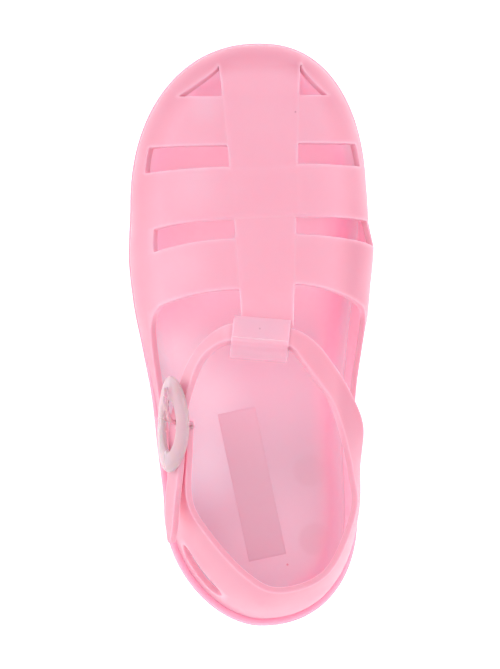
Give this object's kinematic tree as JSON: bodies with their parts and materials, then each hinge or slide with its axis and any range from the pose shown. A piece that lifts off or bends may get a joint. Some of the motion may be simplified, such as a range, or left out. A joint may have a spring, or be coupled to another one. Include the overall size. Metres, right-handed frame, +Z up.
{
  "type": "moulded jelly sandal",
  "caption": "See-through pink moulded sandal for the water: cage upper with a heel counter and ankle strap, on a sole with toe spring, arch and ring lugs, closed by a clear oval buckle",
  "frame": {"origin": "on the floor, under the middle of the shoe's box in plan", "axes": "+Y from heel to toe, +X to the medial side of the left foot, +Z up"},
  "size_m": [0.0907, 0.216, 0.0738],
  "materials": {
    "sole_pink": "soft see-through PVC, deep pink where thick, satin gloss",
    "upper_pink": "soft see-through PVC, pale pink, satin gloss",
    "buckle_clear": "clear hard plastic, faintly pink"
  },
  "bodies": {
    "root": {"outsole": "sole_pink", "upper": "upper_pink", "buckle_frame": "buckle_clear", "buckle_prong": "buckle_clear"}
  },
  "joints": []
}
